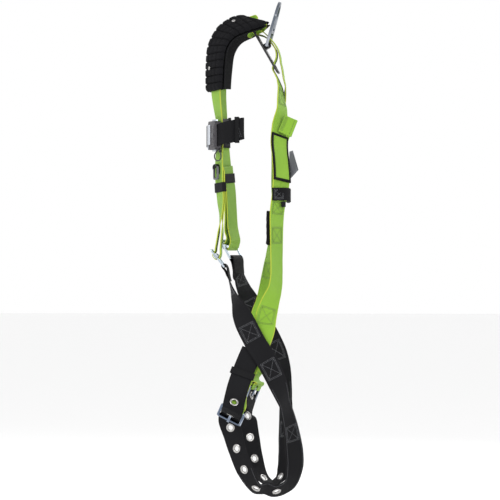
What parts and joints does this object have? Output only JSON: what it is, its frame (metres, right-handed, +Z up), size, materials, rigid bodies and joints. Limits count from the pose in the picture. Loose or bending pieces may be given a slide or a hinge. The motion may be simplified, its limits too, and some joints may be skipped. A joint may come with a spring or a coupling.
{
  "type": "full-body fall-arrest safety harness",
  "caption": "Full-body fall-arrest harness of flat webbing hung by its dorsal D-ring, with padded shoulders, chest strap, torso adjusters and leg loops on tongue buckles.",
  "frame": {"origin": "top of the inside of the dorsal D-ring's eye, where the harness hangs", "axes": "+Z up along the hanging harness, +Y towards the wearer's back, +X to the wearer's left"},
  "size_m": [0.2677, 0.2118, 1.0475],
  "materials": {
    "lime_webbing": "woven polyester, satin sheen",
    "black_webbing": "woven polyester, dull",
    "pad_cover": "ribbed spacer mesh",
    "pad_lining": "knitted mesh",
    "forged_steel": "forged and plated, satin",
    "zinc_steel": "zinc plated, light blue cast",
    "nickel": "bright nickel",
    "blued_steel": "dark blue chrome",
    "black_plastic": "moulded, fine grain",
    "grey_plastic": "moulded, fine grain",
    "tab_metal": "die cast, satin",
    "spring_steel": "drawn wire",
    "elastic": "woven elastic",
    "cord": "braided",
    "label_cloth": "woven",
    "label_film": "clear film over cloth",
    "paper": "coated paper leaves"
  },
  "bodies": {
    "harness": {"adjuster_frame_left": "zinc_steel", "adjuster_frame_right": "zinc_steel", "back_cross_strap": "black_webbing", "buckle_loop_left": "lime_webbing", "buckle_loop_right": "lime_webbing", "chest_buckle_body": "grey_plastic", "chest_buckle_cover": "grey_plastic", "chest_buckle_rivets": "forged_steel", "chest_latch_plate": "forged_steel", "chest_strap_keeper": "elastic", "chest_strap_left": "black_webbing", "chest_strap_right": "black_webbing", "cord_bead": "black_plastic", "dorsal_plate": "black_plastic", "fall_indicator_left": "lime_webbing", "fall_indicator_right": "lime_webbing", "grommets_left": "nickel", "grommets_right": "nickel", "label_booklet": "paper", "label_pouch": "label_cloth", "label_window": "label_film", "lanyard_tab_left": "black_webbing", "lanyard_tab_right": "black_webbing", "leg_buckle_frame_left": "blued_steel", "leg_buckle_frame_right": "blued_steel", "leg_strap_left": "black_webbing", "leg_strap_right": "black_webbing", "pad_lining_left": "pad_lining", "pad_lining_right": "pad_lining", "pad_snaps_left": "nickel", "pad_snaps_right": "nickel", "release_cord": "cord", "release_spring_lower": "spring_steel", "release_spring_upper": "spring_steel", "shoulder_pad_left": "pad_cover", "shoulder_pad_right": "pad_cover", "strap_left_shoulder_right_leg": "lime_webbing", "strap_right_shoulder_left_leg": "lime_webbing", "tail_keeper_left": "elastic", "tail_keeper_right": "elastic", "trauma_loop": "black_webbing", "trauma_pouch_left": "black_webbing", "trauma_pouch_right": "black_webbing", "web_stop": "black_plastic", "woven_label": "label_cloth"},
    "dorsal_ring": {"dorsal_d_ring": "forged_steel"},
    "slider_left": {"adjuster_slider_left": "zinc_steel"},
    "slider_right": {"adjuster_slider_right": "zinc_steel"},
    "release_upper": {"release_tab_upper": "tab_metal"},
    "release_lower": {"release_tab_lower": "tab_metal"},
    "tongue_left": {"leg_buckle_tongue_left": "blued_steel"},
    "tongue_right": {"leg_buckle_tongue_right": "blued_steel"},
    "lanyard_left": {"lanyard_keeper_left": "grey_plastic"},
    "lanyard_right": {"lanyard_keeper_right": "grey_plastic"},
    "elastic_left": {"elastic_keeper_left": "elastic"},
    "elastic_right": {"elastic_keeper_right": "elastic"}
  },
  "joints": [
    {"name": "d_ring_swing", "type": "hinge", "parent": "harness", "child": "dorsal_ring", "pos_m": [0, -0.0235, -0.0837], "axis": [-1, 0, 0], "range_deg": [-4, 70]},
    {"name": "adjuster_slide_left", "type": "slide", "parent": "harness", "child": "slider_left", "axis": [0, -0.6157, 0.788], "range_m": [-0.0015, 0.0015]},
    {"name": "adjuster_slide_right", "type": "slide", "parent": "harness", "child": "slider_right", "axis": [-0.2034, -0.4568, 0.866], "range_m": [-0.0015, 0.0015]},
    {"name": "release_press_upper", "type": "slide", "parent": "harness", "child": "release_upper", "axis": [0, 0, -1], "range_m": [0, 0.003], "stiffness_N_per_m": 600, "springref_m": -0.003, "deforming": ["release_spring_upper"]},
    {"name": "release_press_lower", "type": "slide", "parent": "harness", "child": "release_lower", "axis": [0, 0, 1], "range_m": [0, 0.003], "stiffness_N_per_m": 600, "springref_m": -0.003, "deforming": ["release_spring_lower"]},
    {"name": "tongue_swing_left", "type": "hinge", "parent": "harness", "child": "tongue_left", "pos_m": [0.12032, -0.08855, -0.8512], "axis": [0, -0.8924, 0.4512], "range_deg": [0, 6]},
    {"name": "tongue_swing_right", "type": "hinge", "parent": "harness", "child": "tongue_right", "pos_m": [-0.104, -0.05934, -0.81326], "axis": [-0.9396, 0.318, -0.1264], "range_deg": [0, 6]},
    {"name": "lanyard_keeper_swing_left", "type": "hinge", "parent": "harness", "child": "lanyard_left", "pos_m": [0.08738, -0.12704, -0.34284], "axis": [-0.9062, -0.4229, 0], "range_deg": [0, 80]},
    {"name": "lanyard_keeper_swing_right", "type": "hinge", "parent": "harness", "child": "lanyard_right", "pos_m": [-0.08704, -0.1268, -0.31893], "axis": [-0.9275, 0.3739, 0], "range_deg": [0, 80]},
    {"name": "elastic_slide_left", "type": "slide", "parent": "harness", "child": "elastic_left", "axis": [-0.029, -0.06, 0.9978], "range_m": [0, 0.005]},
    {"name": "elastic_slide_right", "type": "slide", "parent": "harness", "child": "elastic_right", "axis": [0.024, -0.09, 0.9957], "range_m": [0, 0.005]}
  ]
}
